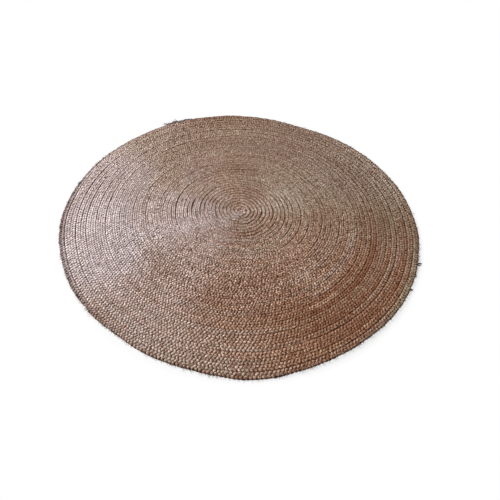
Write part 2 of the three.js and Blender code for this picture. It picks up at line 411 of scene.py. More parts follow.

# Lengths of jute that are lighter or darker (light), redder or greener (warm), or greyer than the rest, each
# by the part of the rug that they lie in. Most are the jute's own uneven tone, but the paler, greyer parts
# on the left are a painted sheen, with some of the window's light painted in as well. Radii are in metres,
# and angles in degrees.
JUTE_LOTS_AND_SHEEN = (
    {"radii": (0.45, 0.77), "angles": (148, 216), "light": 0.20, "grey": 0.90},
    {"radii": (0.50, 0.77), "angles": (180, 224), "light": 0.20, "grey": 0.20},
    {"radii": (0.12, 0.45), "angles": (156, 212), "light": 0.20, "grey": 0.60},
    {"radii": (0.0, 0.12), "angles": (160, 230), "light": 0.25, "grey": 0.40},
    {"radii": (0.15, 0.50), "angles": (194, 210), "light": 0.18, "grey": 0.20},
    {"radii": (0.38, 0.52), "angles": (212, 232), "light": -0.12, "warm": 0.15},
    {"radii": (0.10, 0.77), "angles": (214, 252), "light": 0.25, "warm": 0.25, "grey": 0.45},
    {"radii": (0.10, 0.77), "angles": (252, 284), "light": 0.08, "warm": 0.20, "grey": 0.10},
    {"radii": (0.50, 0.77), "angles": (276, 324), "light": -0.14, "warm": 0.75},
    {"radii": (0.50, 0.77), "angles": (324, 370), "light": -0.16, "warm": 0.60},
    {"radii": (0.22, 0.50), "angles": (290, 368), "light": 0.02, "warm": 0.25},
    {"radii": (0.02, 0.25), "angles": (8, 50), "light": 0.08, "warm": -0.45, "grey": 0.15},
    {"radii": (0.24, 0.53), "angles": (16, 50), "light": -0.05, "warm": -0.45, "grey": 0.15},
    {"radii": (0.10, 0.53), "angles": (52, 100), "light": -0.12, "warm": -0.30, "grey": 0.15},
    {"radii": (0.45, 0.77), "angles": (16, 110), "light": -0.14, "warm": -0.3, "grey": 0.15},
    {"radii": (0.67, 0.77), "angles": (56, 116), "light": -0.15},
    {"radii": (0.56, 0.64), "angles": (58, 74), "light": -0.10, "warm": 0.8},
    {"radii": (0.26, 0.38), "angles": (86, 134), "light": -0.12, "warm": 0.4},
    {"radii": (0.0, 0.14), "angles": (50, 120), "light": -0.05, "warm": 0.25},
    {"radii": (-0.1, 0.03), "angles": (0, 360), "light": 0.15, "grey": 0.30},
    {"radii": (0.22, 0.77), "angles": (348, 372), "light": -0.13, "warm": -0.30},
    {"radii": (0.36, 0.56), "angles": (250, 300), "light": -0.12, "warm": 0.30},
    {"radii": (0.52, 0.68), "angles": (290, 314), "light": -0.12, "warm": 0.35},
    {"radii": (0.10, 0.52), "angles": (222, 262), "light": -0.06, "warm": 0.12, "grey": -0.05},
    {"radii": (0.08, 0.38), "angles": (124, 152), "light": 0.06, "grey": 0.25},
    {"radii": (0.52, 0.68), "angles": (110, 130), "light": -0.14},
    {"radii": (0.0, 0.09), "angles": (10, 50), "light": 0.10},
    {"radii": (0.09, 0.23), "angles": (56, 86), "light": -0.10},
    {"radii": (0.22, 0.38), "angles": (156, 186), "light": 0.07, "grey": 0.05},
    {"radii": (0.30, 0.77), "angles": (108, 150), "light": -0.12, "warm": -0.1, "grey": 0.35},
    {"radii": (0.69, 0.77), "angles": (10, 34), "light": 0.15, "warm": -0.7},
    {"radii": (0.66, 0.80), "angles": (268, 350), "light": -0.13},
    {"radii": (0.45, 0.80), "angles": (350, 400), "light": -0.09},
    {"radii": (0.45, 0.80), "angles": (290, 345), "light": -0.05},
    {"radii": (0.45, 0.80), "angles": (105, 132), "light": -0.06},
    {"radii": (-0.1, 0.10), "angles": (0, 360), "light": 0.09},
    {"radii": (0.08, 0.24), "angles": (20, 250), "light": 0.07},
    {"radii": (0.24, 0.80), "angles": (16, 104), "warm": -0.20, "grey": 0.08},
    {"radii": (0.18, 0.45), "angles": (330, 375), "light": -0.08},
    {"radii": (0.28, 0.58), "angles": (268, 296), "light": -0.06, "warm": 0.2},
    {"radii": (0.66, 0.80), "angles": (214, 234), "light": -0.10, "warm": -0.1},
    {"radii": (0.60, 0.80), "angles": (0, 84), "light": 0.02, "warm": -0.30, "grey": 0.08},
    {"radii": (0.64, 0.80), "angles": (134, 160), "light": 0.04, "warm": -0.70, "grey": -0.05},
    {"radii": (0.50, 0.72), "angles": (108, 140), "light": 0.02, "warm": -0.35},
    {"radii": (0.50, 0.80), "angles": (354, 376), "warm": -0.50, "grey": 0.05},
    {"radii": (0.20, 0.80), "angles": (10, 112), "light": -0.03, "warm": -0.30, "grey": 0.03},
    {"radii": (0.10, 0.80), "angles": (112, 150), "light": 0.03, "warm": -0.20, "grey": 0.05},
    {"radii": (0.10, 0.80), "angles": (176, 250), "light": 0.05, "warm": 0.10},
    {"radii": (0.55, 0.80), "angles": (255, 300), "light": 0.05, "warm": 0.10},
    {"radii": (-0.1, 0.10), "angles": (10, 100), "light": 0.08, "warm": -0.10, "grey": 0.10},
    {"radii": (0.10, 0.45), "angles": (170, 216), "light": 0.08, "warm": 0.10},
    {"radii": (0.50, 0.68), "angles": (166, 196), "light": 0.10, "warm": 0.10},
    {"radii": (0.735, 0.80), "angles": (84, 118), "light": -0.25},
    {"radii": (0.30, 0.60), "angles": (316, 350), "light": -0.08, "warm": 0.10},
    {"radii": (0.46, 0.80), "angles": (340, 410), "light": 0.02, "warm": -0.28, "grey": 0.06},
    {"radii": (0.20, 0.55), "angles": (112, 150), "light": -0.01, "warm": -0.10, "grey": -0.08},
    {"radii": (-0.1, 0.08), "angles": (345, 395), "light": -0.06, "warm": 0.30, "grey": -0.10},
    {"radii": (-0.1, 0.09), "angles": (160, 196), "light": 0.10},
    {"radii": (0.30, 0.62), "angles": (144, 172), "light": 0.01, "warm": -0.15, "grey": -0.07},
    {"radii": (0.60, 0.80), "angles": (120, 160), "light": 0.02, "warm": -0.15, "grey": 0.04},
    {"radii": (0.12, 0.30), "angles": (0, 70), "light": 0.06, "warm": -0.10, "grey": 0.06},
    {"radii": (0.26, 0.80), "angles": (52, 148), "light": -0.05},
    {"radii": (0.38, 0.80), "angles": (150, 234), "light": -0.06},
    {"radii": (0.06, 0.80), "angles": (256, 350), "light": 0.05},
    {"radii": (0.68, 0.80), "angles": (194, 240), "light": -0.10, "warm": 0.05, "grey": -0.05},
    {"radii": (0.70, 0.80), "angles": (310, 372), "light": 0.06, "warm": -0.15},
    {"radii": (0.16, 0.80), "angles": (-10, 154), "light": 0.01, "warm": -0.16},
    {"radii": (0.50, 0.70), "angles": (196, 226), "light": -0.05},
)
TONE_PATCH_FADE_OUT = 40 * MM
TONE_PATCH_FADE_ROUND = 12

# Lengths of single turns that came out in other tones than their neighbours, by the angles, in degrees,
# at which they start and end.
STREAKS = (
    {"radius": 632 * MM, "start": 271, "end": 346, "light": -0.18, "warm": 0.3},
    {"radius": 625 * MM, "start": 337, "end": 348, "light": -0.05, "warm": 0.9},
    {"radius": 585 * MM, "start": 262, "end": 275, "light": 0.05, "warm": 0.8},
    {"radius": 570 * MM, "start": 278, "end": 362, "light": -0.14, "warm": 0.6},
    {"radius": 578 * MM, "start": 316, "end": 342, "light": -0.03, "warm": 0.8},
    {"radius": 551 * MM, "start": 293, "end": 316, "light": 0.22},
    {"radius": 532 * MM, "start": 290, "end": 340, "light": -0.20, "warm": 0.5},
    {"radius": 435 * MM, "start": 300, "end": 340, "light": -0.16, "warm": 0.2},
    {"radius": 372 * MM, "start": 288, "end": 304, "light": -0.18, "warm": 0.2},
    {"radius": 672 * MM, "start": 270, "end": 300, "light": 0.12},
    {"radius": 594 * MM, "start": 20, "end": 58, "light": -0.15, "warm": 0.1},
    {"radius": 460 * MM, "start": 58, "end": 76, "light": -0.15, "warm": 0.8},
    {"radius": 180 * MM, "start": 60, "end": 110, "light": -0.10, "warm": 0.5},
    {"radius": 752 * MM, "start": 292, "end": 366, "light": 0.30, "warm": -1.5},
    {"radius": 732 * MM, "start": 306, "end": 358, "light": 0.14, "warm": -1.1},
    # The last five rows darken the outer turns along the left edge: partly painted shade at the rug's edge,
    # partly darker jute.
    {"radius": 752 * MM, "start": 156, "end": 214, "light": -0.34, "grey": 0.5},
    {"radius": 752 * MM, "start": 200, "end": 240, "light": -0.26, "warm": 0.5, "grey": 0.1},
    {"radius": 752 * MM, "start": 176, "end": 200, "light": -0.22, "warm": 0.6, "grey": -0.3},
    {"radius": 732 * MM, "start": 174, "end": 200, "light": -0.28, "grey": 0.2},
    {"radius": 712 * MM, "start": 176, "end": 192, "light": -0.10},
)


def add_tones(tones, row, within):
    """Adds the tones of a table's row to those at each place, as far as it lies within the row's part."""
    for name in TONES:
        tones[name] += within * row.get(name, 0)


def streaked(turn):
    """The tones that the streaks give the plait at these turns."""
    tones = {name: np.zeros_like(turn) for name in TONES}
    for streak in STREAKS:
        add_tones(tones, streak, along_stretch(turn, streak, steepness=1.5))
    return tones


def jute_lots_and_sheen(place):
    """How light, how warm and how grey the jute is at these places on the rug, with the painted sheen on its
    left.
    """
    radius = np.linalg.norm(place, axis=1)
    angle = np.degrees(np.arctan2(place[:, 1], place[:, 0]))
    tones = {name: np.zeros(len(place)) for name in TONES}
    for tone_row in JUTE_LOTS_AND_SHEEN:
        near, far = tone_row["radii"]
        start, end = tone_row["angles"]
        within = smoothstep((np.minimum(radius - near, far - radius) / TONE_PATCH_FADE_OUT + 1) / 2)
        beside = np.abs((angle - (start + end) / 2 + 180) % 360 - 180) - (end - start) / 2
        within *= smoothstep((1 - beside / TONE_PATCH_FADE_ROUND) / 2)
        add_tones(tones, tone_row, within)
    return tones


INNER_MIXED = {"radius": 600 * MM, "fade": 200 * MM}
BACK_MIXED = {"from": -100 * MM, "fade": 400 * MM}


def mixed_jute(place):
    """1 towards the back and in the inner turns, where the jute is more mixed, and 0 at the front edge."""
    inner = smoothstep((INNER_MIXED["radius"] - np.linalg.norm(place, axis=1)) / INNER_MIXED["fade"])
    back = smoothstep((place[:, 1] - BACK_MIXED["from"]) / BACK_MIXED["fade"])
    return np.maximum(inner, back)


# ---------------------------------------------------------------- the plait's own line


# Spacings along the plait are in metres.
PACE_WANDERS = (
    {"size": 0.07, "spacing": 0.35, "seed": 14},
    {"size": 0.08, "spacing": 0.09, "seed": 23},
)


class Plait:
    """The plait's middle line, its width and its twist, as tables along its length."""

    def __init__(self):
        rows = int((LAST_TURN - CURL_START_TURN) * TABLE_STEPS_PER_TURN)
        turn = np.linspace(CURL_START_TURN, LAST_TURN, rows)
        inner = drawn_to_outline(spiral_radius(turn - 0.5), turn)
        outer = drawn_to_outline(outer_side(turn), turn)
        settled = past(turn, SETTLED_FROM_TURN, SETTLED_WITHIN_TURNS)
        onto_next = smoothstep((LAST_TURN - 1 - turn) / OUTERMOST_FADE)
        outer += settled * (groove_shift(turn) - groove_gape(turn) / 2) * onto_next
        outer += rim_shift(turn) * (1 - onto_next)
        inner += settled * (groove_shift(turn - 1) + groove_gape(turn - 1) / 2)
        inner += bow(inner, angle_at(turn))
        outer += bow(outer, angle_at(turn))
        full_width = WIDTH_AT_MIDDLE + WIDENING * outer
        radius = (inner + outer) / 2
        self.turn = turn
        self.width = np.maximum(outer - inner, LEAST_WIDTH * full_width) + 2 * SIDE_PRESS
        self.middle = COIL_MIDDLE + on_coil(radius, angle_at(turn))
        steps = np.linalg.norm(np.diff(self.middle, axis=0), axis=1)
        self.length = np.concatenate([[0], np.cumsum(steps)])
        along = unit(np.gradient(self.middle, self.length, axis=0))
        self.outward = np.stack([-along[:, 1], along[:, 0]], -1)
        pace = 2 * math.pi / (PERIOD_WIDTHS * self.width)
        pace *= 1 + wanders(self.length, PACE_WANDERS)
        self.phase = np.concatenate([[0], np.cumsum(steps * (pace[1:] + pace[:-1]) / 2)])

    def at(self, phase):
        """The plait's middle, outward direction, width, turn and length where it has these phases."""
        def read(column):
            return np.interp(phase, self.phase, column)
        middle = np.stack([read(self.middle[:, 0]), read(self.middle[:, 1])], -1)
        outward = unit(np.stack([read(self.outward[:, 0]), read(self.outward[:, 1])], -1))
        return middle, outward, read(self.width), read(self.turn), read(self.length)


SEEDS_PER_STRAND = 100
SLUBS = (
    {"size": 0.07, "spacing": 0.035, "seed": 1},
    {"size": 0.04, "spacing": 0.30, "seed": 2},
)
STRAND_STRAYS = ({"size": 0.40 * MM, "spacing": 0.018, "seed": 3},)
STRAND_LIFTS = ({"size": 0.30 * MM, "spacing": 0.03, "seed": 4},)
TURN_LIFTS = ({"size": 0.35 * MM, "spacing": 0.13, "seed": 15},)

# How unevenly a strand is worked from one time that it shows to the next: how tight it is pulled, in
# radians of the weave, and how far it lies aside, how wide and how high.
UNEVEN_PULL = {"size": 0.22, "seed": 10, "at_front": 0.6, "more_where_mixed": 0.7}
UNEVEN_ASIDE = {"size": 0.40 * MM, "seed": 8, "at_front": 0.6, "more_where_mixed": 0.6}
UNEVEN_WIDTH = {"size": 0.05, "seed": 9}
UNEVEN_LIFT = {"size": 0.20 * MM, "seed": 7}


class Strand:
    """One strand's middle line and the frame of each of its rings."""

    def __init__(self, plait, number):
        self.number = number
        self.seed = SEEDS_PER_STRAND * (number + 1)
        lead = 2 * math.pi * number / STRANDS
        step = 2 * math.pi / RINGS_PER_PERIOD
        first = math.ceil(lead / step)
        last = math.floor((plait.phase[-1] + lead) / step)
        self.ring = np.arange(first, last + 1)
        phase = self.ring * step + RING_CROWDING * np.sin(2 * self.ring * step)
        mixed = mixed_jute(plait.at(phase - lead)[0])
        pulled = self.uneven(UNEVEN_PULL, mixed)
        middle, outward, width, self.turn, self.length = plait.at(phase - lead + pulled)
        self.lay(phase, mixed, middle, outward, width)
        self.frame_rings()
        self.taper_ends()

    def lay(self, phase, mixed, middle, outward, width):
        """Lays the strand along the plait: its middle line, its half sizes and its rise and fall."""
        slub = 1 + wanders(self.length, SLUBS, self.seed)
        at_side = np.abs(np.sin(phase)) ** SIDE_TURN
        closed = closed_up(self.turn) * at_side
        self.half_width = STRAND_HALF_WIDTH * width * slub * (1 + self.uneven(UNEVEN_WIDTH))
        self.half_height = STRAND_HALF_HEIGHT * slub * np.sqrt(np.minimum(1, width / WIDTH_AT_MIDDLE))
        self.half_height *= 1 + SIDE_SWELL * at_side
        reach = width / 2 - STRAND_HALF_WIDTH * width
        swing = (np.sin(phase) + WEAVE_HUG * np.sin(3 * phase)) / (1 - WEAVE_HUG)
        aside = reach * swing + wanders(self.length, STRAND_STRAYS, self.seed)
        aside += self.uneven(UNEVEN_ASIDE, mixed)
        rise = -np.sin(2 * phase - WEAVE_LEAN * np.sin(2 * phase))
        lift = WEAVE_RISE * rise + CLOSED_LIFT * closed + self.uneven(UNEVEN_LIFT)
        lift += wanders(self.length, STRAND_LIFTS, self.seed) + wanders(self.turn, TURN_LIFTS)
        self.line = np.empty((len(phase), 3))
        self.line[:, :2] = middle + outward * aside[:, None]
        self.line[:, 2] = cad_low.z + RUG_THICKNESS / 2 + lift
        self.roll = WEAVE_ROLL * swing * rise
        # The rise also sets the painted shade of the dive, which is lighter where the grooves are closed up.
        self.rise = rise + CLOSED_RISE * closed
        self.aside = aside / (width / 2)
        self.half_share = self.half_width / (width / 2)

    def frame_rings(self):
        """Works out each ring's directions forward, across and up, rolled as the strand crosses over."""
        forward = unit(np.gradient(self.line, axis=0))
        up = unit(UP - forward[:, 2:] * forward)
        across = np.cross(forward, up)
        roll = self.roll[:, None]
        self.forward = forward
        self.across = across * np.cos(roll) + up * np.sin(roll)
        self.up = up * np.cos(roll) - across * np.sin(roll)

    def of_showing(self, seed):
        """A random number for each time that the strand shows on top, and for each on the underside."""
        showing = (self.ring + 1) // (RINGS_PER_PERIOD // 4)
        draws = np.random.default_rng(seed).normal(0, 1, showing.max() + 2).clip(-2, 2)
        return draws[showing]

    def uneven(self, row, mixed=0):
        """How far the strand's work strays each time that it shows, by a row that says how much."""
        share = row.get("at_front", 1) + row.get("more_where_mixed", 0) * mixed
        return row["size"] * share * self.of_showing(self.seed + row["seed"])

    def taper_ends(self):
        """Thins the strand over its first rings and over its last ones."""
        ring = np.arange(len(self.ring))
        for taper, from_end in ((START_TAPER, ring), (END_TAPER, ring[::-1])):
            thin = taper["left"] + (1 - taper["left"]) * smoothstep(from_end / taper["rings"])
            self.half_width *= thin
            self.half_height *= thin

    def rings(self):
        """The corners of every ring, as an array of rings by corners by xyz."""
        fullness = 1 + (SHOULDER - 1) * np.sin(2 * SECTION_ANGLES) ** 2
        side = (fullness * np.cos(SECTION_ANGLES))[None, :, None]
        top = (fullness * np.sin(SECTION_ANGLES))[None, :, None]
        out = self.across[:, None] * side * self.half_width[:, None, None]
        over = self.up[:, None] * top * self.half_height[:, None, None]
        corners = self.line[:, None] + out + over
        corners[..., 2] = np.maximum(corners[..., 2], cad_low.z + FLOOR_GAP)
        return corners


# ---------------------------------------------------------------- meshes from arrays


def put_in_scene(name, data):
    """A new object in the scene, made of this mesh, lamp or camera."""
    made = bpy.data.objects.new(name, data)
    bpy.context.scene.collection.objects.link(made)
    return made


def make_piece(name, corners, faces, finish):
    """A mesh piece from arrays: corners by xyz, and a list of face arrays with one size each."""
    mesh = bpy.data.meshes.new(name)
    mesh.vertices.add(len(corners))
    mesh.vertices.foreach_set("co", np.ascontiguousarray(corners, np.float32).ravel())
    loops = np.concatenate([part.ravel() for part in faces])
    sizes = np.concatenate([np.full(len(part), part.shape[1]) for part in faces])
    mesh.loops.add(len(loops))
    mesh.loops.foreach_set("vertex_index", loops.astype(np.int32))
    mesh.polygons.add(len(sizes))
    starts = np.concatenate([[0], np.cumsum(sizes)[:-1]])
    mesh.polygons.foreach_set("loop_start", starts.astype(np.int32))
    mesh.polygons.foreach_set("use_smooth", np.ones(len(sizes), bool))
    mesh.update(calc_edges=True)
    mesh.validate()
    mesh.materials.append(finish)
    piece = put_in_scene(name, mesh)
    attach(piece, BODY)
    return piece


def note(piece, name, values):
    """Writes a number on every corner of the mesh, for the finish to read."""
    made = piece.data.attributes.new(name, "FLOAT", "POINT")
    made.data.foreach_set("value", np.ascontiguousarray(values, np.float32).ravel())


def wall_faces(ring_count, corner_count):
    """The four-cornered faces between rings of corners that follow each other."""
    corner = np.arange(corner_count)
    following = (corner + 1) % corner_count
    here = np.arange(ring_count - 1)[:, None] * corner_count
    ahead = here + corner_count
    return np.stack([here + corner, ahead + corner, ahead + following, here + following], -1).reshape(-1, 4)


def tube_faces(ring_count, corner_count):
    """The faces of a closed tube: its wall and its two ends."""
    start = np.arange(corner_count)[None]
    end = (ring_count - 1) * corner_count + start[:, ::-1]
    return [wall_faces(ring_count, corner_count), start, end]


# ---------------------------------------------------------------- finishes


class Wire:
    """A node's output, so that sums and products of values read as plain expressions."""

    def __init__(self, finish, socket):
        self.finish = finish
        self.socket = socket

    def __add__(self, other):
        return self.finish.maths("ADD", self, other)

    def __radd__(self, other):
        return self.finish.maths("ADD", other, self)

    def __sub__(self, other):
        return self.finish.maths("SUBTRACT", self, other)

    def __rsub__(self, other):
        return self.finish.maths("SUBTRACT", other, self)

    def __mul__(self, other):
        return self.finish.maths("MULTIPLY", self, other)

    def __rmul__(self, other):
        return self.finish.maths("MULTIPLY", other, self)

    def __pow__(self, other):
        return self.finish.maths("POWER", self, other)

    def __rpow__(self, other):
        return self.finish.maths("POWER", other, self)


# What becomes of jute's red, green and blue as it darkens, in its own tone and in the painted shade, or
# lightens:
# the power of its darkness, what ruddy jute adds to that, the power of its lightness, and how much more of
# the colour ruddy jute has.
JUTE_CHANNELS = (
    {"dark": 0.90, "ruddy_dark": -0.24, "bright": 1.00, "ruddy": -0.018},
    {"dark": 1.18, "ruddy_dark": 0.10, "bright": 1.05, "ruddy": 0.018},
    {"dark": 1.20, "ruddy_dark": 0.55, "bright": 1.20, "ruddy": 0.042},
)


class Finish:
    """A material, or the world, and the nodes that make it."""

    def __init__(self, made):
        self.made = made
        self.made.use_nodes = True
        self.nodes = self.made.node_tree.nodes
        self.links = self.made.node_tree.links
        self.nodes.clear()

    def add(self, kind, settings=None, sockets=None, output=0):
        """Adds a node: its settings first, then the values or links of its sockets."""
        node = self.nodes.new(kind)
        for name, value in (settings or {}).items():
            setattr(node, name, value)
        for name, value in (sockets or {}).items():
            if isinstance(value, Wire):
                self.links.new(value.socket, node.inputs[name])
            else:
                node.inputs[name].default_value = value
        return Wire(self, node.outputs[output]) if len(node.outputs) else node

    def noted(self, name):
        """A number that note() wrote on the mesh."""
        return self.add("ShaderNodeAttribute", {"attribute_name": name}, output=2)

    def maths(self, operation, *values):
        return self.add("ShaderNodeMath", {"operation": operation}, dict(enumerate(values)))

    def at_least(self, value, least):
        return self.maths("MAXIMUM", value, least)

    def at_most(self, value, most):
        return self.maths("MINIMUM", value, most)

    def size_of(self, value):
        return self.maths("ABSOLUTE", value)

    def between(self, value, low, high, smooth=True):
        """0 where value is at low or below, and 1 at high or above."""
        style = "SMOOTHSTEP" if smooth else "LINEAR"
        sockets = {"Value": value, "From Min": low, "From Max": high, "To Min": 0.0, "To Max": 1.0}
        return self.add("ShaderNodeMapRange", {"interpolation_type": style}, sockets)

    def noise(self, where, detail=2.0, roughness=0.5):
        sockets = {"Vector": where, "Scale": 1.0, "Detail": detail, "Roughness": roughness}
        return self.add("ShaderNodeTexNoise", {}, sockets)

    def vector(self, x, y, z):
        return self.add("ShaderNodeCombineXYZ", {}, {0: x, 1: y, 2: z})

    def mixed(self, share, first, second, way="MIX"):
        """The colour first, with this share of second mixed into it."""
        settings = {"data_type": "RGBA", "blend_type": way}
        return self.add("ShaderNodeMix", settings, {0: share, 6: first, 7: second}, output=2)

    def shaded(self, colour, brightness, grey=0.0):
        """The colour times a brightness that holds the painted shade as well as the jute's tone. Darker jute
        and deeper painted shade turn redder, as light deep in jute does, unless the jute is grey.
        """
        dark = self.at_most(brightness, 1.0)
        bright = self.at_least(brightness, 1.0)
        ruddy = 1 - grey
        sockets = {}
        for channel, row in enumerate(JUTE_CHANNELS):
            tone = dark ** (row["dark"] + row["ruddy_dark"] * ruddy) * bright ** row["bright"]
            sockets[channel] = tone * (1 + row["ruddy"] * ruddy)
        return self.mixed(1.0, colour, self.add("ShaderNodeCombineColor", {}, sockets), "MULTIPLY")

    def place(self):
        """Where a point of the piece lies, in metres in the rug's own frame."""
        return self.add("ShaderNodeTexCoord", output=3)

    def seen_directly(self):
        """1 for what the camera sees, and 0 for the light that reaches the rug."""
        return self.add("ShaderNodeLightPath")

    def bump(self, height, strength, distance):
        sockets = {"Height": height, "Strength": strength, "Distance": distance}
        return self.add("ShaderNodeBump", {}, sockets)

    def surface(self, sockets):
        """The finished material, with these values and links on its surface."""
        return self.finished(self.add("ShaderNodeBsdfPrincipled", {}, sockets))

    def finished(self, shader, kind="ShaderNodeOutputMaterial"):
        """The material or world, with this shader as its surface."""
        self.add(kind, {}, {0: shader})
        return self.made


def rgb(red, green, blue):
    return (red, green, blue, 1.0)


JUTE_MIDDLE = rgb(0.374, 0.258, 0.190)
JUTE_PALE = rgb(0.56, 0.44, 0.335)
JUTE_DARK = rgb(0.16, 0.088, 0.052)
JUTE_RED = rgb(0.38, 0.20, 0.115)
JUTE_OLIVE = rgb(0.345, 0.275, 0.175)
JUTE_SHADED = rgb(0.085, 0.060, 0.047)
# The grey that the grey tone mixes in: mostly a painted sheen on the left of the rug, partly greyer jute.
JUTE_GREY_AND_SHEEN = rgb(0.465, 0.40, 0.395)
JUTE_SHEEN = rgb(0.90, 0.75, 0.62)
# The dark browns of the sheet of painted shade deep in the grooves.
GROOVE_SHADE_DARK = rgb(0.08, 0.048, 0.032)
GROOVE_SHADE_PALE = rgb(0.19, 0.115, 0.078)

# The patterns in the yarn: how fine each is along the strand (to a metre), round its side and over its
# top, where it starts, so that no two are alike, and how rough it is. Fibres also slant.
YARN_PATTERNS = {
    "fibres": {"scale": (70, 5.5, 3.5), "start": (0, 0, 0), "detail": 3.0, "roughness": 0.6},
    "clumps": {"scale": (160, 0.9, 0.7), "start": (0, 0, 7), "detail": 2.0, "roughness": 0.5},
    # The speck pattern is partly the fibres' own tone and partly painted glints, where fibres would catch
    # the light.
    "specks": {"scale": (320, 1.8, 1.5), "start": (0, 3, 0), "detail": 1.0, "roughness": 0.5},
    "tints": {"scale": (150, 0.9, 0.8), "start": (0, 11, 0), "detail": 1.0, "roughness": 0.5},
}
FIBRE_SLANT = 55

# What colours the yarn: its lots and its painted sheen, by the numbers on its mesh, and then the patterns,
# by the values between which a colour comes in, and the most of it.
YARN_LOTS_AND_SHEEN = (
    {"noted": "warm", "full_at": 1.0, "colour": JUTE_RED},
    {"noted": "warm", "full_at": -1.0, "colour": JUTE_OLIVE},
    {"noted": "grey", "full_at": 1.0, "colour": JUTE_GREY_AND_SHEEN},
)
YARN_TINTS = (
    {"pattern": "tints", "from": 0.52, "to": 0.75, "most": 0.50, "colour": JUTE_RED},
    {"pattern": "tints", "from": 0.48, "to": 0.25, "most": 0.40, "colour": JUTE_OLIVE},
    # This row paints the pale glints of the speck pattern.
    {"pattern": "specks", "from": 0.60, "to": 0.78, "most": 0.60, "colour": JUTE_PALE},
    {"pattern": "fibres", "from": 0.50, "to": 0.78, "most": 0.55, "colour": JUTE_PALE},
    {"pattern": "fibres", "from": 0.48, "to": 0.25, "most": 0.55, "colour": JUTE_DARK},
)

# How bright the yarn is, and what makes it uneven.
BRIGHTNESS = 1.02
LEAST_BRIGHTNESS = 0.15
BEAD_TONE = 0.10
CLUMP_TONE = 1.05
SPECK_TONE = 4.0
MORE_WHERE_MIXED = 0.5
LESS_WHERE_GREY = 0.35

# The painted shade in the hollows between strands and turns, and along the rug's edge: the values between
# which it comes in, and its depth. The flank is the strand's own side, the dive is where it goes under
# another, and the rim is the outer side of the last turn, which is painted shade together with darker jute.
YARN_SHADES = {
    "flank": {"from": 0.45, "to": 1.0, "depth": 0.53},
    "dive": {"from": 0.75, "to": -0.2, "depth": 0.38},
    "groove": {"from": 0.60, "to": 1.0, "depth": 0.54},
    "crevice": {"from": 0.75 * RUG_THICKNESS, "to": 0.35 * RUG_THICKNESS, "depth": 0.50},
    "rim": {"from": 0.0, "to": 1.0, "depth": 0.62},
}

PLY = {"round": 5.2, "along": 230}
YARN_RELIEF = {"fibres": 0.8, "ply": 0.16, "clumps": 0.5}
YARN_NOTES = ("along", "side", "top", "bead", "rise", "across", "rim", "mixed", *TONES)


def jute_yarn():
    """Loose jute roving: long fibres and tones that change along the strand, with painted shade in the
    crevices, a painted sheen on the rug's left and painted glints among its fibres.
    """
    finish = Finish(bpy.data.materials.new("jute_yarn"))
    noted = {name: finish.noted(name) for name in YARN_NOTES}
    along, side, grey = noted["along"], noted["side"], noted["grey"]
    on_strand = finish.vector(along, side, noted["top"])
    patterns = {}
    for name, row in YARN_PATTERNS.items():
        start = finish.vector(0.0, along * FIBRE_SLANT, 0.0) if name == "fibres" else row["start"]
        sockets = {0: on_strand, 1: row["scale"], 2: start}
        where = finish.add("ShaderNodeVectorMath", {"operation": "MULTIPLY_ADD"}, sockets)
        patterns[name] = finish.noise(where, row["detail"], row["roughness"])

    colour = JUTE_MIDDLE
    for tone_row in YARN_LOTS_AND_SHEEN:
        share = finish.between(noted[tone_row["noted"]], 0.0, tone_row["full_at"], smooth=False)
        colour = finish.mixed(share, colour, tone_row["colour"])
    for tint in YARN_TINTS:
        share = finish.between(patterns[tint["pattern"]], tint["from"], tint["to"]) * tint["most"]
        colour = finish.mixed(share, colour, tint["colour"])

    # The speck pattern lightens and darkens the yarn: fibre tone, and painted glints where it is pale.
    speckled = (patterns["specks"] - 0.5) * SPECK_TONE
    speckled = speckled * (1 - LESS_WHERE_GREY * grey) * (1 + MORE_WHERE_MIXED * noted["mixed"])
    brightness = 1 + noted["bead"] * BEAD_TONE + (patterns["clumps"] - 0.5) * CLUMP_TONE + speckled
    brightness = finish.at_least(brightness, LEAST_BRIGHTNESS) * (BRIGHTNESS + noted["light"])
    # Painted shade: the brightness drops where shadow would lie, on the flanks, at the dives, in the
    # grooves, low in the crevices and at the rim.
    hollows = {
        "flank": finish.size_of(side),
        "dive": noted["rise"],
        "groove": finish.size_of(noted["across"]),
        "crevice": finish.add("ShaderNodeSeparateXYZ", {}, {0: finish.place()}, output=2),
        "rim": noted["rim"],
    }
    for name, value in hollows.items():
        shade = YARN_SHADES[name]
        smooth = name != "rim"
        deep = finish.between(value, shade["from"], shade["to"], smooth) * shade["depth"]
        brightness = brightness * (1 - deep)

    patterns["ply"] = finish.maths("SINE", side * PLY["round"] + along * PLY["along"])
    relief = sum(patterns[name] * height for name, height in YARN_RELIEF.items())
    return finish.surface(
        {
            "Base Color": finish.shaded(colour, brightness, grey),
            "Roughness": 0.52 + patterns["fibres"] * 0.3,
            "Normal": finish.bump(relief, strength=0.8, distance=0.9 * MM),
            "Specular IOR Level": 0.25,
            "Sheen Weight": 0.10,
            "Sheen Roughness": 0.5,
            "Sheen Tint": JUTE_SHEEN,
        }
    )


STREAKS_PER_METRE = 400
STREAKS_APART = 90


def loose_jute():
    """Single fibres and wisps that stand off the yarn."""
    finish = Finish(bpy.data.materials.new("loose_jute"))
    shade = finish.noted("shade")
    along = finish.noted("along")
    streaks = finish.noise(finish.vector(along * STREAKS_PER_METRE, shade * STREAKS_APART, 0.0))
    colour = finish.mixed(finish.between(shade, 0.0, 1.0, smooth=False), JUTE_SHADED, JUTE_PALE)
    colour = finish.shaded(colour, 0.8 + streaks * 0.5)
    sockets = {"Base Color": colour, "Roughness": 0.5 + streaks * 0.3, "Specular IOR Level": 0.4}
    return finish.surface(sockets)


SHADE_SHEET_TUFTS_PER_METRE = 400.0


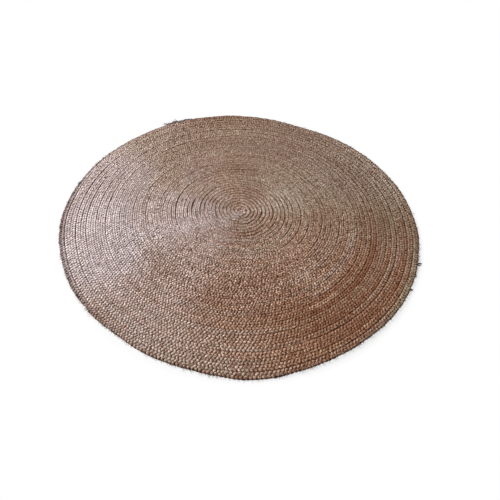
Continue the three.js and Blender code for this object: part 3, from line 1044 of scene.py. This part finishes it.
def groove_shade_jute():
    """The painted shade at the bottom of the grooves: the dark, tufted jute of the sheet in the middle."""
    finish = Finish(bpy.data.materials.new("groove_shade_jute"))
    sockets = {0: finish.place(), "Scale": SHADE_SHEET_TUFTS_PER_METRE}
    scaled = finish.add("ShaderNodeVectorMath", {"operation": "SCALE"}, sockets)
    tufts = finish.noise(scaled, detail=3.0, roughness=0.6)
    colour = finish.mixed(tufts, GROOVE_SHADE_DARK, GROOVE_SHADE_PALE)
    bump = finish.bump(tufts, strength=0.7, distance=1 * MM)
    sockets = {"Base Color": colour, "Roughness": 0.95, "Normal": bump, "Specular IOR Level": 0.2}
    return finish.surface(sockets)


# ---------------------------------------------------------------- the strands


# How the tones wander: those that the strands share, and those that each has of its own.
SHARED_TONES = {
    "light": ({"size": 0.07, "spacing": 0.45, "seed": 19},),
    "warm": ({"size": 0.50, "spacing": 0.60, "seed": 20},),
}
OWN_TONES = {
    "light": ({"size": 0.028, "spacing": 0.40, "seed": 5},),
    "warm": ({"size": 0.25, "spacing": 0.40, "seed": 6},),
}
TONE_SEEDS_PER_STRAND = 1000
APART = 200                  # metres between one strand and the next in the yarn's patterns
# Where the painted rim shade, which also stands for darker jute, lies: it comes in over the last turn, and
# from this place across the plait.
RIM_SHADE_FADE = 1 / 30      # in turns
RIM_SHADE_FROM = -0.1        # across the plait, from -1 at its inner side to 1 at its outer side
RIM_SHADE_WITHIN = 0.8

# How a strand is laid out flat: its wall in rows with a gap between them, and its ends in one corner.
STRIP_ROWS = 46
ROW_GAP = 0.06
END_HALF_SIZES = (0.01, 0.3)
END_PLACE = (0.5, 0.5)
OTHER_END_ASIDE = (0.1, 0)


def boxes(left, right, low, high):
    """The corners of four-cornered faces that are laid out flat, from the places of their sides."""
    left, right, low, high = np.broadcast_arrays(left, right, low, high)
    return np.stack([left, low, right, low, right, high, left, high], -1).reshape(-1, 2)


def lay_out_walls(piece, ring_count, corner_count, rows):
    """Lays the wall of a tube out in rows, so that its faces keep their shape on a flat picture."""
    in_row = -(-ring_count // rows)
    ring = np.arange(ring_count)[:, None]
    left = ring % in_row / in_row
    low = ring // in_row + ROW_GAP + (1 - 2 * ROW_GAP) * np.arange(corner_count) / corner_count
    wall = boxes(left, left + 1 / in_row, low, low + (1 - 2 * ROW_GAP) / corner_count)
    turn = (np.arange(corner_count) * 2 * math.pi / corner_count)[:, None]
    end = np.array(END_PLACE) + (0, rows) + END_HALF_SIZES * np.hstack([np.cos(turn), np.sin(turn)])
    places = np.concatenate([wall, end, end[::-1] + OTHER_END_ASIDE]) / (1, rows + 1)
    lay_out(piece, places)


def lay_out(piece, places):
    """Gives the piece's faces their places on a flat picture."""
    layer = piece.data.uv_layers.new(name="OFBake")
    layer.data.foreach_set("uv", places.astype(np.float32).ravel())


def strand_pieces(strands, finish):
    """Each strand in two lengths: the inner turns, and the outer turns with as many rings."""
    made = []
    for strand in strands:
        corners = strand.rings()
        half = len(corners) // 2
        lengths = {"inner": slice(0, half + 1), "outer": slice(half, len(corners))}
        for where, part in lengths.items():
            name = f"strand_{strand.number + 1}_{where}_turns"
            made.append(strand_length(strand, corners, part, name, finish))
    return made


def strand_length(strand, corners, part, name, finish):
    """One length of a strand as a piece, with all that the finish reads from it."""
    rings = corners[part]
    ring_count, corner_count = rings.shape[:2]
    piece = make_piece(name, rings.reshape(-1, 3), tube_faces(ring_count, corner_count), finish)
    # The across note sets where the painted groove shade and the painted rim shade fall.
    across = strand.aside[:, None] - strand.half_share[:, None] * np.cos(SECTION_ANGLES)
    across *= groove_softness(strand.turn)[:, None]
    # The rim note carries the painted shade, with darker jute, on the outer side of the last turn.
    on_edge = smoothstep((strand.turn - LAST_TURN + 1) / RIM_SHADE_FADE)[:, None]
    notes = {
        "along": strand.length + APART * strand.number,
        "side": np.cos(SECTION_ANGLES)[None],
        "top": np.sin(SECTION_ANGLES)[None],
        "bead": strand.of_showing(TONE_SEEDS_PER_STRAND * (strand.number + 1)),
        "rise": strand.rise,
        "across": across,
        "rim": on_edge * smoothstep((across - RIM_SHADE_FROM) / RIM_SHADE_WITHIN),
        "mixed": mixed_jute(strand.line[:, :2]),
    }
    notes.update(strand_tones(strand))
    every = np.ones((len(strand.ring), corner_count))
    for noted, values in notes.items():
        if values.ndim == 1:
            values = values[:, None]
        note(piece, noted, (values * every)[part])
    lay_out_walls(piece, ring_count - 1, corner_count, STRIP_ROWS)
    return piece


def strand_tones(strand):
    """How light, how warm and how grey the strand is at each of its rings."""
    seed = TONE_SEEDS_PER_STRAND * (strand.number + 1)
    tones = jute_lots_and_sheen(strand.line[:, :2])
    for name in SHARED_TONES:
        tones[name] += wanders(strand.length, SHARED_TONES[name])
        tones[name] += wanders(strand.length, OWN_TONES[name], seed)
    for name, tone in streaked(strand.turn).items():
        tones[name] += tone
    return tones


# ---------------------------------------------------------------- loose fibres and yarn ends


# The loose fibres, and the ranges that they are drawn from. A fibre is bent by shares of its length.
TOP_FIBRES = {
    "count": 6000,
    "aside": (-0.9, 0.9),
    "turned": 0.6,
    "steepness": (0.02, 0.4),
    "length": (6 * MM, 20 * MM),
}
RIM_FIBRES = {
    "count": 3600,
    "inset": 3 * MM,
    "height": (2 * MM, 8 * MM),
    "lean": 62,
    "lean_spread": 26,
    "steepness": (-0.1, 0.2),
    "length": (6 * MM, 17 * MM),
    "thicker": 2.3,
    "darker": 0.35,
}
LEAST_RISE = -0.2
FIBRE_SUNK = 0.9
FIBRE_BEND = 0.35
FIBRE_DROOP = (0.1, 0.4)
FIBRE_THICKNESS = (0.25 * MM, 0.6 * MM)
FIBRE_SHADES = (2.5, 1.6)
FIBRE_PLACES = 4
FIBRE_SEED = 40

# The wisps of the plait's frayed end: a ridge that runs on round the edge, and spikes that stand off it.
RIDGE = {
    "wisps": 56,
    "angle": (113, 121),
    "turn": (1.0, 4.0),
    "reach": (-3 * MM, 9 * MM),
    "start": (-3 * MM, 10 * MM),
}
SPIKES = {
    "wisps": 44,
    "angle": (119, 124),
    "turn": (-0.6, 1.6),
    "reach": (8 * MM, 32 * MM),
    "start": (-2 * MM, 4 * MM),
}

# Small tufts at the edge: the first of them on the left, and the rest all round.
TUFTS = {
    "count": 130,
    "on_left": 36,
    "wisps": 3,
    "spread": 0.3,
    "turn": 0.8,
    "reach": (4 * MM, 10 * MM),
    "inset": 4 * MM,
}
LEFT_TUFT_ANGLES = (150, 240)

# The tufts that stand out most.
EDGE_WISPS = (
    {"angle": 342, "reach": 21 * MM, "wisps": 22},
    {"angle": 337, "reach": 13 * MM, "wisps": 12},
    {"angle": 331, "reach": 16 * MM, "wisps": 20},
    {"angle": 326, "reach": 9 * MM, "wisps": 10},
    {"angle": 308, "reach": 7 * MM, "wisps": 8},
    {"angle": 60, "reach": 7 * MM, "wisps": 8},
    {"angle": 72, "reach": 7 * MM, "wisps": 8},
    {"angle": 186, "reach": 8 * MM, "wisps": 10},
    {"angle": 191, "reach": 8 * MM, "wisps": 10},
    {"angle": 45, "reach": 11 * MM, "wisps": 5},
    {"angle": 114, "reach": 11 * MM, "wisps": 6},
    {"angle": 157, "reach": 9 * MM, "wisps": 5},
    {"angle": 213, "reach": 8 * MM, "wisps": 5},
    {"angle": 226, "reach": 9 * MM, "wisps": 5},
)
EDGE_WISP = {"spread": 0.25, "turn": 0.5, "reach": (0.5, 1.1), "inset": 5 * MM}
WISP_PLACES = 9
WISP_CURVE = 1.6             # how late a wisp turns out, as a power of its length
WISP_HEIGHT = (3 * MM, 11 * MM)
WISP_RISE = (-5 * MM, 5 * MM)
WISP_THICKNESS = (1.4 * MM, 3.8 * MM)
WISP_SHADES = (0, 0.15)
WISP_SEED = 41

HAIR_SIDES = 3
HAIR_THINS_TO = 0.35         # of its thickness, towards its end, where it closes in a point
HAIR_PATTERN = 20 * MM
HAIR_GAP = 0.12
HAIR_END_PLACES = ((-0.05, 0.4), (-0.01, 0.5), (-0.05, 0.6))


def hair_corners(paths, thickness):
    """The corners of tapered hairs, as hairs by corners by xyz: rings along each path, and its point."""
    share = np.linspace(0, 1, paths.shape[1])[:-1]
    forward = unit(np.gradient(paths, axis=1)[:, :-1])
    across = np.cross(forward, UP)
    across /= np.linalg.norm(across, axis=-1, keepdims=True) + TINY
    up = np.cross(across, forward)
    round_about = np.radians(90 + np.arange(HAIR_SIDES) * 360 / HAIR_SIDES)[:, None]
    ring = np.cos(round_about) * across[:, :, None] + np.sin(round_about) * up[:, :, None]
    ring *= (thickness[:, None] * (1 - (1 - HAIR_THINS_TO) * share) / 2)[:, :, None, None]
    walls = (paths[:, :-1, None] + ring).reshape(len(paths), -1, 3)
    corners = np.concatenate([walls, paths[:, -1:]], 1)
    corners[..., 2] = np.maximum(corners[..., 2], cad_low.z + FLOOR_GAP)
    return corners


def hair_faces(count, rings):
    """The faces of so many hairs: their walls, the faces of their points, and their cut ends."""
    side = np.arange(HAIR_SIDES)
    last = (rings - 1) * HAIR_SIDES
    point = np.full(HAIR_SIDES, rings * HAIR_SIDES)
    tip = np.stack([last + side, point, last + (side + 1) % HAIR_SIDES], -1)
    first = np.arange(count)[:, None, None] * (rings * HAIR_SIDES + 1)
    one_hair = (wall_faces(rings, HAIR_SIDES), tip, side[None])
    return [(first + part).reshape(-1, part.shape[1]) for part in one_hair]


def hairs(name, paths, thickness, shade, finish):
    """Closed tapered hairs. The paths are hairs by places by xyz, and each ends in a point."""
    count, places = paths.shape[:2]
    rings = places - 1
    corners = hair_corners(paths, thickness)
    piece = make_piece(name, corners.reshape(-1, 3), hair_faces(count, rings), finish)
    share = np.append(np.repeat(np.linspace(0, 1, places)[:-1], HAIR_SIDES), 1)
    note(piece, "shade", np.repeat(shade, len(share)))
    note(piece, "along", np.tile(share, count) * HAIR_PATTERN)
    lay_out_hairs(piece, count, rings)
    return piece


def lay_out_hairs(piece, count, rings):
    """Lays each hair out in a cell of its own: its wall, the faces of its point, and its cut end."""
    low = np.arange(HAIR_SIDES) / HAIR_SIDES
    high = low + 1 / HAIR_SIDES
    left = (np.arange(rings - 1) / rings)[:, None]
    wall = boxes(left, left + 1 / rings, low, high)
    full = np.full(HAIR_SIDES, 1 - 1 / rings)
    tip = np.stack([full, low, full + 1 / rings, (low + high) / 2, full, high], -1).reshape(-1, 2)
    cells = math.ceil(math.sqrt(count))
    cell = np.stack([np.arange(count) % cells, np.arange(count) // cells], -1)[:, None]
    laid = [
        ((cell + HAIR_GAP + (1 - 2 * HAIR_GAP) * places) / cells).reshape(-1, 2)
        for places in (wall, tip, np.array(HAIR_END_PLACES))
    ]
    lay_out(piece, np.concatenate(laid))


EDGE_TABLE = 720


def at_edge(angle, out):
    """Places on the floor at the rug's edge, or this far out from it."""
    edge_angle, edge_radius = outline(EDGE_TABLE)
    radius = np.interp(angle % 360, edge_angle % 360, edge_radius, period=360)
    flat = COIL_MIDDLE + on_coil(radius + out, angle)
    return np.concatenate([flat, np.full(flat.shape[:-1] + (1,), cad_low.z)], -1)


def fibres_on_top(strands, draw):
    """Where fibres leave the strands, which way they head, and how long they are."""
    roots, headings, lengths = [], [], []
    for strand in strands:
        shown = np.flatnonzero((strand.rise > LEAST_RISE) & (strand.turn > 1))
        chosen = draw.choice(shown, TOP_FIBRES["count"] // STRANDS, replace=False)
        one_each = (len(chosen), 1)
        forward, across, up = strand.forward[chosen], strand.across[chosen], strand.up[chosen]
        aside = draw.uniform(*TOP_FIBRES["aside"], one_each)
        over = np.sqrt(1 - aside**2) * FIBRE_SUNK
        root = strand.line[chosen] + across * aside * strand.half_width[chosen, None]
        roots.append(root + up * over * strand.half_height[chosen, None])
        turned = draw.normal(0, TOP_FIBRES["turned"], one_each) + math.pi * draw.integers(0, 2, one_each)
        heading = forward * np.cos(turned) + across * np.sin(turned)
        heading[:, 2] = draw.uniform(*TOP_FIBRES["steepness"], len(chosen))
        headings.append(heading)
        lengths.append(draw.uniform(*TOP_FIBRES["length"], len(chosen)))
    return np.concatenate(roots), np.concatenate(headings), np.concatenate(lengths)


def fibres_at_rim(draw):
    """Where fibres leave the rug's edge, which way they head, and how long they are."""
    count = RIM_FIBRES["count"]
    angle = draw.uniform(0, 360, count)
    root = at_edge(angle, -RIM_FIBRES["inset"])
    root[:, 2] += draw.uniform(*RIM_FIBRES["height"], count)
    leaning = draw.choice([-RIM_FIBRES["lean"], RIM_FIBRES["lean"]], count)
    towards = np.radians(angle + leaning + draw.normal(0, RIM_FIBRES["lean_spread"], count))
    steepness = draw.uniform(*RIM_FIBRES["steepness"], count)
    heading = np.stack([np.cos(towards), np.sin(towards), steepness], -1)
    return root, heading, draw.uniform(*RIM_FIBRES["length"], count)


def loose_fibres(strands, finish):
    """Fibres that stand off the yarn all over the rug, and thicker along its edge."""
    draw = np.random.default_rng(FIBRE_SEED)
    on_top = fibres_on_top(strands, draw)
    at_rim = fibres_at_rim(draw)
    root, heading, length = (np.concatenate(both) for both in zip(on_top, at_rim))
    heading = unit(heading)
    count = len(root)
    sideways = np.stack([-heading[:, 1], heading[:, 0], np.zeros(count)], -1)
    sideways *= draw.normal(0, FIBRE_BEND, (count, 1))
    droop = -UP * draw.uniform(*FIBRE_DROOP, (count, 1))
    share = np.linspace(0, 1, FIBRE_PLACES)[None, :, None]
    bend = share**2 * (sideways + droop)[:, None]
    paths = root[:, None] + length[:, None, None] * (share * heading[:, None] + bend)
    thickness = draw.uniform(*FIBRE_THICKNESS, count)
    shade = draw.beta(*FIBRE_SHADES, count)
    thickness[len(on_top[0]):] *= RIM_FIBRES["thicker"]
    shade[len(on_top[0]):] *= RIM_FIBRES["darker"]
    return hairs("loose_fibres", paths, thickness, shade, finish)


def drawn_wisps(draw):
    """Every wisp at the edge: its angle, the angle it turns through, its reach and where it starts."""
    wisps = []
    for row in (RIDGE, SPIKES):
        for _ in range(row["wisps"]):
            wisps.append([draw.uniform(*row[drawn]) for drawn in ("angle", "turn", "reach", "start")])
    for number in range(TUFTS["count"]):
        on_left = number < TUFTS["on_left"]
        where = draw.uniform(*(LEFT_TUFT_ANGLES if on_left else (0, 360)))
        reach = draw.uniform(*TUFTS["reach"])
        for _ in range(TUFTS["wisps"]):
            angle = where + draw.uniform(-TUFTS["spread"], TUFTS["spread"])
            wisps.append([angle, draw.uniform(-TUFTS["turn"], TUFTS["turn"]), reach, -TUFTS["inset"]])
    for tuft in EDGE_WISPS:
        for _ in range(tuft["wisps"]):
            angle = tuft["angle"] + draw.uniform(-EDGE_WISP["spread"], EDGE_WISP["spread"])
            turn = draw.uniform(-EDGE_WISP["turn"], EDGE_WISP["turn"])
            reach = tuft["reach"] * draw.uniform(*EDGE_WISP["reach"])
            wisps.append([angle, turn, reach, -EDGE_WISP["inset"]])
    return np.array(wisps)


def yarn_ends(finish):
    """Dark wisps of yarn: at the end of the plait, where they run on round the edge, and here and there."""
    draw = np.random.default_rng(WISP_SEED)
    angle, turn, reach, start = drawn_wisps(draw).T[..., None]
    count = len(angle)
    share = np.linspace(0, 1, WISP_PLACES)
    paths = at_edge(angle + turn * share, start + reach * share**WISP_CURVE)
    paths[..., 2] += draw.uniform(*WISP_HEIGHT, (count, 1))
    paths[..., 2] += draw.uniform(*WISP_RISE, (count, 1)) * share
    thickness = draw.uniform(*WISP_THICKNESS, count)
    return hairs("yarn_ends", paths, thickness, draw.uniform(*WISP_SHADES, count), finish)


# ---------------------------------------------------------------- the dark sheet of painted shade in the middle


MIDDLE_ANGLES = 108
MIDDLE_ROWS = 12
MIDDLE_INSET = 7 * MM
MIDDLE_LOW = 3.2 * MM
MIDDLE_HIGH = 5.6 * MM


def middle_shade_sheet(finish):
    """A dark sheet halfway up the rug's thickness, where the strands press together: painted shade that
    fills the gaps between them, in place of the deep shadow there.
    """
    angle, radius = outline(MIDDLE_ANGLES)
    edge = on_coil(radius - MIDDLE_INSET, angle)
    share = np.linspace(0, 1, MIDDLE_ROWS + 1)[1:]
    plane = COIL_MIDDLE + share[:, None, None] * edge[None]
    sheets = []
    for height in (MIDDLE_HIGH, MIDDLE_LOW):
        level = np.full(plane.shape[:2] + (1,), cad_low.z + height)
        hub = np.array([[*COIL_MIDDLE, cad_low.z + height]])
        sheets.append(np.concatenate([hub, np.concatenate([plane, level], -1).reshape(-1, 3)]))
    sheet_size = len(sheets[0])
    step = np.arange(MIDDLE_ANGLES)
    ahead = (step + 1) % MIDDLE_ANGLES
    quads = 1 + wall_faces(MIDDLE_ROWS, MIDDLE_ANGLES)
    fan = np.stack([np.zeros_like(step), step + 1, ahead + 1], -1)
    last = (MIDDLE_ROWS - 1) * MIDDLE_ANGLES + 1
    rim = np.stack([last + step, last + step + sheet_size, last + ahead + sheet_size, last + ahead], -1)
    faces = [quads, quads[:, ::-1] + sheet_size, fan, fan[:, ::-1] + sheet_size, rim]
    return make_piece("middle_shade_sheet", np.concatenate(sheets), faces, finish)


# ---------------------------------------------------------------- floor, light and camera


FLOOR_HALF = 8.0
FLOOR_CLEARS = 0.03
FLOOR_COLOUR = rgb(0.8, 0.8, 0.8)
FLOOR_WHITE = 0.8            # of what the camera sees of the floor beside the rug, and all of it further off
WHITE = rgb(1, 1, 1)


def floor_finish():
    """A pale floor that the camera sees as white, but for the rug's shadow close beside it."""
    finish = Finish(bpy.data.materials.new("pale_floor"))
    away = finish.add("ShaderNodeVectorMath", {"operation": "LENGTH"}, {0: finish.place()}, output=1)
    clear = finish.between(away, RUG_RADIUS, RUG_RADIUS + FLOOR_CLEARS)
    plain = finish.add("ShaderNodeBsdfDiffuse", {}, {"Color": FLOOR_COLOUR})
    white = finish.add("ShaderNodeEmission", {}, {"Color": WHITE, "Strength": 1.0})
    share = FLOOR_WHITE + (1 - FLOOR_WHITE) * clear
    sockets = {0: finish.seen_directly() * share, 1: plain, 2: white}
    return finish.finished(finish.add("ShaderNodeMixShader", {}, sockets))


def lay_floor():
    mesh = bpy.data.meshes.new("floor")
    sides = ((-1, -1), (1, -1), (1, 1), (-1, 1))
    corners = [(FLOOR_HALF * x, FLOOR_HALF * y, cad_low.z) for x, y in sides]
    mesh.from_pydata(corners, [], [(0, 1, 2, 3)])
    mesh.materials.append(floor_finish())
    floor = put_in_scene("floor", mesh)
    return floor


def hang_lamp(name, place, target, size, watts, colour):
    """A square lamp that faces its target."""
    lamp = bpy.data.lights.new(name, "AREA")
    lamp.shape = "SQUARE"
    lamp.size = size
    lamp.energy = watts
    lamp.color = colour
    made = put_in_scene(name, lamp)
    made.location = place
    made.rotation_euler = (Vector(target) - Vector(place)).to_track_quat("-Z", "Y").to_euler()


ROOM_LIGHT = 0.20
WINDOW = {
    "place": (-4.0, 1.0, 2.4),
    "target": (0.0, 0.0, 0.0),
    "size": 1.5,
    "watts": 390,
    "colour": (1.0, 0.98, 0.97),
}


def light_the_room():
    """A plain room that gives an even light from all round, looks white, and has one large window."""
    room = Finish(bpy.data.worlds.new("room"))
    light = room.add("ShaderNodeBackground", {}, {"Color": WHITE, "Strength": ROOM_LIGHT})
    white = room.add("ShaderNodeBackground", {}, {"Color": WHITE, "Strength": 1.0})
    walls = room.add("ShaderNodeMixShader", {}, {0: room.seen_directly(), 1: light, 2: white})
    bpy.context.scene.world = room.finished(walls, "ShaderNodeOutputWorld")
    hang_lamp("window", **WINDOW)


CAMERA_HEIGHT = 1.368
CAMERA_BACK = 1.404
CAMERA_LENS = 32.53
CAMERA_ROLL = math.radians(4.68)
LOOKS_AT = (0.038, -0.207)


def set_camera():
    """A camera held over the rug's near side, a little aslant."""
    middle = Vector((*COIL_MIDDLE, cad_low.z + RUG_THICKNESS / 2))
    place = middle + Vector((0, -CAMERA_BACK, CAMERA_HEIGHT))
    forward = (middle + Vector((*LOOKS_AT, 0)) - place).normalized()
    level = forward.cross(Vector((0, 0, 1))).normalized()
    upright = level.cross(forward)
    right = level * math.cos(CAMERA_ROLL) + upright * math.sin(CAMERA_ROLL)
    up = upright * math.cos(CAMERA_ROLL) - level * math.sin(CAMERA_ROLL)
    camera = put_in_scene("camera", bpy.data.cameras.new("camera"))
    camera.data.lens = CAMERA_LENS
    camera.matrix_world = Matrix.Translation(place) @ Matrix((right, up, -forward)).transposed().to_4x4()
    bpy.context.scene.camera = camera


# ---------------------------------------------------------------- putting it together


set_camera()
light_the_room()
floor = lay_floor()
bpy.context.scene.view_settings.view_transform = "Standard"

plait = Plait()
strands = [Strand(plait, number) for number in range(STRANDS)]
loose = loose_jute()
laid_on = strand_pieces(strands, jute_yarn())
laid_on += [loose_fibres(strands, loose), yarn_ends(loose)]
middle = middle_shade_sheet(groove_shade_jute())
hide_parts(NODE)
